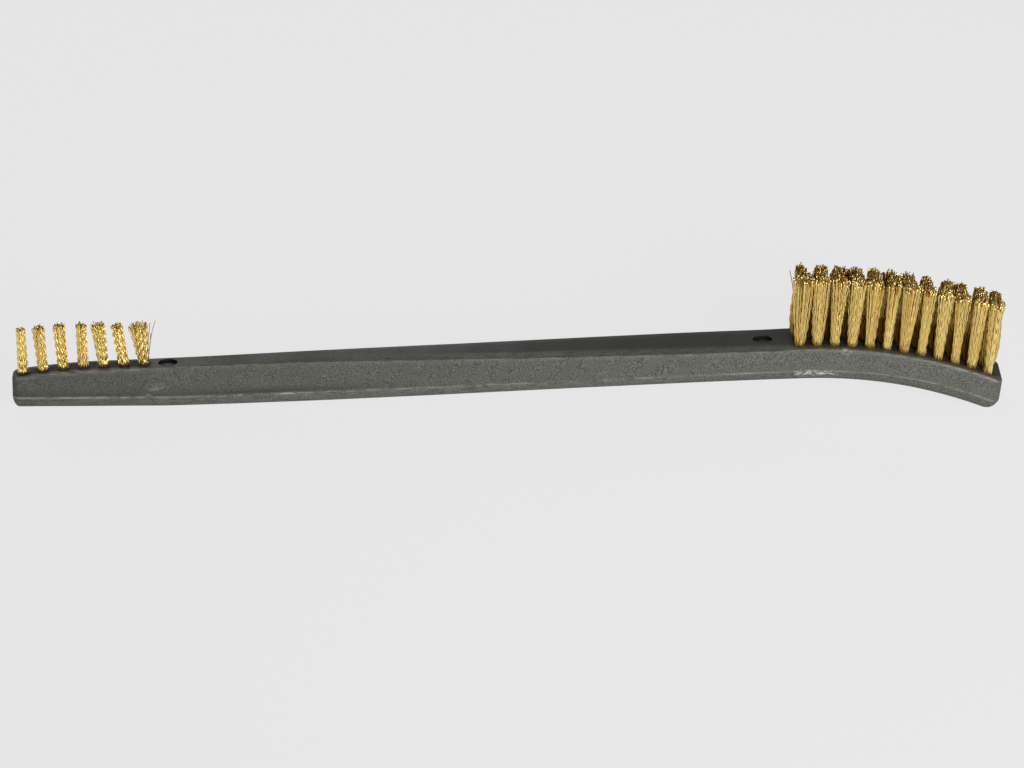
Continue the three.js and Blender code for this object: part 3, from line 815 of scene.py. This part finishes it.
def mark_places():
    """The middles of the two round marks, on the top face."""
    beside = (("small_head_anchor_07", SMALL_MARK_GAP), ("large_head_middle_anchor_01", -LARGE_MARK_GAP))
    places = []
    for node, gap in beside:
        low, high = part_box(node)
        u = ((low.x + high.x) / 2 - SMALL_END) / MM + gap
        places.append(in_frame(on_handle(u, 0, depth_at(u))))
    return places


def make_handle(rows):
    """The handle, with a hole for each tuft of the rows and the two marks."""
    handle = link(bpy.data.objects.new("moulded_handle", body_mesh()))
    shape = bmesh.new()
    to_metres = Matrix.Scale(MM, 4)
    for foot, axis in sum(rows, []):
        place = Matrix.Translation(foot) @ axis.to_track_quat("Z", "X").to_matrix().to_4x4() @ to_metres
        add_drill(shape, place, HOLE_RADIUS, HOLE_DEPTH)
    marks = mark_places()
    for mark in marks:
        add_drill(shape, Matrix.Translation(mark) @ to_metres, MARK_RADIUS, MARK_DEPTH)
    cutter = link(bpy.data.objects.new("cutter", bpy.data.meshes.new("cutter")))
    shape.to_mesh(cutter.data)
    shape.free()
    cut(handle, cutter)
    mark_wear_and_light(handle.data, [[foot for foot, _ in row] for row in rows])
    sharpen_edges(handle.data)
    handle.data.materials.clear()
    handle.data.materials.append(handle_plastic(marks))
    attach(handle, "root")
    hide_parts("handle")


# Tufts

class Style:
    """How the wires of a head's tufts are drawn, cut and crimped."""

    def __init__(self, count, points, radius, crowding, foot, trim, dome, ragged, crimp, wave):
        self.count = count
        self.points = points  # along a wire
        self.radius = radius  # of a wire
        self.crowding = crowding  # 0.5 where the wires are spread evenly, and less where they crowd outwards
        self.foot = foot  # radius of a tuft where it leaves the handle
        self.trim = trim  # length of wire above the handle
        self.dome = dome  # how much shorter the outer wires are
        self.ragged = ragged  # spread of the wires' lengths
        self.crimp = crimp  # how far a wire sways
        self.wave = wave  # length of one sway


SMALL_STYLE = Style(
    count=60, points=34, radius=0.095, crowding=0.5,
    foot=0.88, trim=8.1, dome=0.25, ragged=0.14, crimp=0.12, wave=1.5,
)
OUTER_STYLE = Style(
    count=70, points=28, radius=0.11, crowding=0.42,
    foot=0.79, trim=12.9, dome=0.6, ragged=0.24, crimp=0.07, wave=2.1,
)
INNER_STYLE = Style(
    count=90, points=22, radius=0.1, crowding=0.42,
    foot=0.8, trim=12.9, dome=0.6, ragged=0.24, crimp=0.07, wave=2.1,
)


def tuft_places(row, leans):
    """Each tuft's foot on the top face and its line, from the anchor that holds it."""
    places = []
    for i, lean in enumerate(leans):
        low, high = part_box(f"{row}_anchor_{i + 1:02d}")
        axis = Vector((math.sin(lean), 0, math.cos(lean)))
        places.append(((low + high) / 2 + axis * ANCHOR_DEPTH * MM, axis))
    return places


def wire_paths(rng, style, tip_radius, longer, bulge):
    """The middles of a tuft's wires in its own frame, with each point's height and its way to the wire's end.

    A tuft can be longer than its style's trim, and bulge along its row between its foot and its tips.
    """
    order = np.arange(style.count)
    out = ((order + 0.5) / style.count) ** style.crowding
    angle = order * GOLDEN_ANGLE + rng.uniform(0, 2 * math.pi)
    length = style.trim + longer - style.dome * out**2 + rng.normal(0, style.ragged, style.count)
    share = np.linspace(0, 1, style.points)
    z = -WIRE_SINK + (length[:, None] + WIRE_SINK) * share
    above = np.clip(z / style.trim, 0, 1)
    flare = FLARE * bump(z, *FLARE_HEIGHT)
    radius = out[:, None] * (mix(style.foot, tip_radius, above**TAPER_CURVE) + flare)
    wider = 1 + bulge * np.sin(math.pi * above**BULGE_CURVE)
    drift = rng.normal(0, DRIFT, (style.count, 2)) * tip_radius
    turn = rng.uniform(0, 2 * math.pi, style.count)
    phase = rng.uniform(0, 2 * math.pi, style.count)
    sway = style.crimp * np.sin(2 * math.pi * z / style.wave + phase[:, None]) * smooth(z, *CRIMP_START)
    x = radius * wider * np.cos(angle)[:, None] + drift[:, :1] * above**2 + sway * np.cos(turn)[:, None]
    y = radius * np.sin(angle)[:, None] + drift[:, 1:] * above**2 + sway * np.sin(turn)[:, None]
    return np.stack([x, y, z], 2), z, length[:, None] - z


def stray_paths(style, strays):
    """The middles of single wires that stand off a tuft."""
    paths = []
    for foot, lean, bow, length in strays:
        z = np.linspace(-WIRE_SINK, length, style.points)
        slant = np.clip(z, 0, None) * math.tan(math.radians(lean))
        x = foot + slant + bow * np.clip(z / length, 0, 1) ** 3
        paths.append(np.stack([x, STRAY_SIDE * x, z], 1))
    return np.array(paths)


def place_paths(paths, foot, axis):
    """Paths of a tuft's own frame, in metres in the brush's frame."""
    across = np.array(Vector((0, 1, 0)).cross(axis))
    turn = np.stack([across, np.array((0.0, 1.0, 0.0)), np.array(axis)], 1)
    return paths @ turn.T * MM + np.array(foot)


def wire_mesh(name, paths, radii, values):
    """Closed wires along paths, with a number from each path point at its ring's vertices."""
    wires, points, _ = paths.shape
    along = np.gradient(paths, axis=1)
    along /= np.linalg.norm(along, axis=2, keepdims=True)
    side = np.cross(along, (1.0, 0.0, 0.0))
    side /= np.linalg.norm(side, axis=2, keepdims=True)
    other = np.cross(along, side)
    angles = 2 * math.pi * np.arange(WIRE_SIDES) / WIRE_SIDES
    rings = paths[:, :, None] + radii[:, None, None, None] * MM * (
        side[:, :, None] * np.cos(angles)[:, None] + other[:, :, None] * np.sin(angles)[:, None]
    )
    index = np.arange(wires * points * WIRE_SIDES).reshape(wires, points, WIRE_SIDES)
    ahead = np.roll(index, -1, 2)
    sides = np.stack([index[:, :-1], ahead[:, :-1], ahead[:, 1:], index[:, 1:]], 3).reshape(-1, 4)
    ends = np.concatenate([index[:, 0, ::-1], index[:, -1]])
    mesh = bpy.data.meshes.new(name)
    mesh.from_pydata(rings.reshape(-1, 3).tolist(), [], sides.tolist() + ends.tolist())
    mesh.polygons.foreach_set("use_smooth", np.arange(len(sides) + len(ends)) < len(sides))
    for key, numbers in values.items():
        add_values(mesh, key, np.repeat(numbers.reshape(-1), WIRE_SIDES))
    mesh.update()
    return mesh


def make_row(head, tufts, brass, style, habits, look, strays):
    """One row of tufts as a piece.

    A habit is a tuft's own lean in degrees, its tips' radius, how much longer it is and how far it bulges.
    """
    bright, brown, low_shade = look
    rng = np.random.default_rng([SEED, len(head)])
    paths, radii, tones, browns = [], [], [], []
    for i, ((foot, axis), (extra, tip_radius, longer, bulge)) in enumerate(zip(tufts, habits)):
        own, z, from_tip = wire_paths(rng, style, tip_radius, longer, bulge)
        lean = math.atan2(axis.x, axis.z) + math.radians(extra)
        leaning = Vector((math.sin(lean), rng.normal(0, SIDE_LEAN), math.cos(lean))).normalized()
        paths.append(place_paths(own, foot, leaning))
        radii.append(np.full(len(own), style.radius))
        # a wire's tone, taken down for a row drawn darker as painted shade
        own_tone = rng.beta(*TONE_SPREAD, len(own))[:, None] * bright
        tones.append(np.repeat(own_tone, style.points, 1))
        own_brown = np.clip(rng.normal(brown, BROWN_SPREAD, len(own)), 0, 1)[:, None]
        # painted shade: wire browned inside its hole
        hole_shade = 1 - smooth(z, *HOLE_SHADE_END)
        # painted shade browns the wires low among the tufts, less on the end tufts
        shaded = END_SHADE_SHARE if i in (0, len(tufts) - 1) else 1.0
        low, high = LOW_SHADE_END
        shade_low_down = low_shade * shaded * (1 - smooth(z, low * style.trim, high * style.trim))
        at_foot = rng.uniform(0, FOOT_BROWN, len(own))[:, None] * (1 - smooth(z, *FOOT_BROWN_END))
        # brown tips: tarnish, reaching further down where a row's tips are browner, which on the rows behind
        # is painted shade
        tip_end = TIP_BROWN_END + TIP_BROWN_MORE * brown
        at_tip = own_brown * (1 - smooth(from_tip, TIP_BROWN, tip_end))
        browns.append(at_tip + at_foot + hole_shade + shade_low_down)
        if i in strays:
            single = stray_paths(style, strays[i])
            paths.append(place_paths(single, foot, axis))
            radii.append(np.full(len(single), style.radius * STRAY_THINNESS))
            tones.append(np.full(single.shape[:2], STRAY_TONE))
            browns.append(np.full(single.shape[:2], STRAY_BROWN))
    values = {"tone": np.concatenate(tones), "tarnish_and_shade": np.concatenate(browns)}
    mesh = wire_mesh(f"{head}_wires", np.concatenate(paths), np.concatenate(radii), values)
    mesh.materials.append(brass)
    row = link(bpy.data.objects.new(f"{head}_wires", mesh))
    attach(row, "root")
    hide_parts(f"{head}_tufts")


def make_tufts():
    """All rows of tufts. Returns each row's feet and lines."""
    brass = brass_wire()
    places = tuft_places("small_head", [SMALL_LEAN] * SMALL_TUFTS)
    longer = np.linspace(SMALL_LONGER, -SMALL_LONGER, SMALL_TUFTS)
    habits = [(*habit, 0.0) for habit in zip(SMALL_OWN_LEANS, SMALL_TIPS, longer)]
    make_row("small_head", places, brass, SMALL_STYLE, habits, SMALL_LOOK, SMALL_STRAYS)
    made = [places]
    along = np.linspace(0, 1, LARGE_TUFTS)
    leans = mix(FIRST_LEAN, LAST_LEAN, along * (2 - along))
    longer = LAST_LONGER * along**LAST_CURVE - MIDDLE_SHORTER * np.sin(math.pi * along)
    front = zip(FRONT_LEANS, FRONT_TIPS, longer + FRONT_TALLER, FRONT_BULGES)
    middle = zip(MIDDLE_LEANS, MIDDLE_TIPS, longer + MIDDLE_TALLER, MIDDLE_BULGES)
    rear = zip(REAR_LEANS, REAR_TIPS, longer + REAR_TALLER, REAR_BULGES)
    rows = (
        ("large_head_front", OUTER_STYLE, front, FRONT_LOOK, {}),
        ("large_head_middle", INNER_STYLE, middle, MIDDLE_LOOK, {}),
        ("large_head_rear", OUTER_STYLE, rear, REAR_LOOK, REAR_STRAYS),
    )
    for head, style, habits, look, strays in rows:
        places = tuft_places(head, leans)
        make_row(head, places, brass, style, habits, look, strays)
        made.append(places)
    return made


def dress_anchors():
    """A finish for the anchors, which stay as the CAD has them."""
    brass = anchor_brass()
    for name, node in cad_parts.items():
        if "_anchor_" in name:
            for i in range(len(node.material_slots)):
                node.material_slots[i].material = brass


# Stage, light and camera

def make_floor():
    """A pale floor. What looks at it sees it at its full paleness, with the shadow of the brush on it."""
    near, far = -FLOOR_HALF, FLOOR_HALF
    mesh = bpy.data.meshes.new("floor")
    corners = [(near, near, 0), (far, near, 0), (far, far, 0), (near, far, 0)]
    mesh.from_pydata(corners, [], [(0, 1, 2, 3)])
    material = bpy.data.materials.new("pale_floor")
    nodes = Nodes(material)
    path = nodes.add("ShaderNodeLightPath").outputs
    seen = nodes.math("MAXIMUM", path["Is Camera Ray"], path["Is Glossy Ray"])
    seen = nodes.math("MAXIMUM", seen, path["Is Transmission Ray"])
    plain = nodes.add("ShaderNodeBsdfDiffuse", Color=FLOOR_WHITE).outputs[0]
    shaded = nodes.add("ShaderNodeBsdfDiffuse", Color=SHADOW_GREY).outputs[0]
    glow = nodes.add("ShaderNodeEmission", Color=WHITE, Strength=FLOOR_GLOW).outputs[0]
    pale = nodes.add("ShaderNodeAddShader", i0=shaded, i1=glow).outputs[0]
    both = nodes.add("ShaderNodeMixShader", i0=seen, i1=plain, i2=pale).outputs[0]
    nodes.add("ShaderNodeOutputMaterial", Surface=both)
    mesh.materials.append(material)
    link(bpy.data.objects.new("floor", mesh))


def make_world():
    """Pale round the horizon and dark overhead, with a broad soft glow low in front."""
    world = bpy.data.worlds.new("studio")
    bpy.context.scene.world = world
    nodes = Nodes(world)
    direction = nodes.add("ShaderNodeTexCoord").outputs["Generated"]
    height = nodes.add("ShaderNodeSeparateXYZ", Vector=direction).outputs["Z"]
    sky = nodes.span(height, *HORIZON, HORIZON_LIGHT, OVERHEAD_LIGHT)
    towards = nodes.vector("DOT_PRODUCT", direction, GLOW_DIRECTION)
    glow = nodes.span(towards, *GLOW_EDGE, 0.0, GLOW_LIGHT)
    background = nodes.add("ShaderNodeBackground", Color=WHITE, Strength=nodes.math("ADD", sky, glow))
    nodes.add("ShaderNodeOutputWorld", Surface=background.outputs[0])


def add_lamp(name, place, target, size, power):
    """A soft box that faces its target."""
    data = bpy.data.lights.new(name, "AREA")
    data.shape = "RECTANGLE"
    data.size, data.size_y = size
    data.energy = power
    data.spread = LAMP_SPREAD
    lamp = link(bpy.data.objects.new(name, data))
    lamp.location = place
    lamp.rotation_euler = (Vector(target) - Vector(place)).to_track_quat("-Z", "Y").to_euler()


def make_camera():
    """The photograph's camera, level, with the middle of the brush where the photograph has it."""
    data = bpy.data.cameras.new("camera")
    data.sensor_width = SENSOR_WIDTH
    data.lens = FOCAL_PIXELS / IMAGE_WIDTH * SENSOR_WIDTH
    data.clip_start = CLIP_START
    data.clip_end = CLIP_END
    level = Vector((math.sin(CAMERA_YAW), math.cos(CAMERA_YAW), 0))
    right = Vector((math.cos(CAMERA_YAW), -math.sin(CAMERA_YAW), 0))
    forward = level * math.cos(CAMERA_ELEVATION) - Vector((0, 0, math.sin(CAMERA_ELEVATION)))
    up = right.cross(forward)
    aside = (IMAGE_WIDTH / 2 - MIDDLE_PIXEL[0]) / PIXELS_PER_MM * MM
    down = (IMAGE_HEIGHT / 2 - MIDDLE_PIXEL[1]) / PIXELS_PER_MM * MM
    target = in_frame((OVERALL_LENGTH / 2, 0, MIDDLE_HEIGHT)) + right * aside - up * down
    camera = link(bpy.data.objects.new("camera", data))
    camera.location = target - forward * FOCAL_PIXELS / PIXELS_PER_MM * MM
    camera.rotation_euler = forward.to_track_quat("-Z", "Y").to_euler()
    bpy.context.scene.camera = camera


# The whole picture

bpy.context.scene.view_settings.view_transform = "Standard"
make_camera()
make_handle(make_tufts())
dress_anchors()
make_floor()
make_world()
add_lamp("key", *KEY_LAMP)
add_lamp("back", *BACK_LAMP)
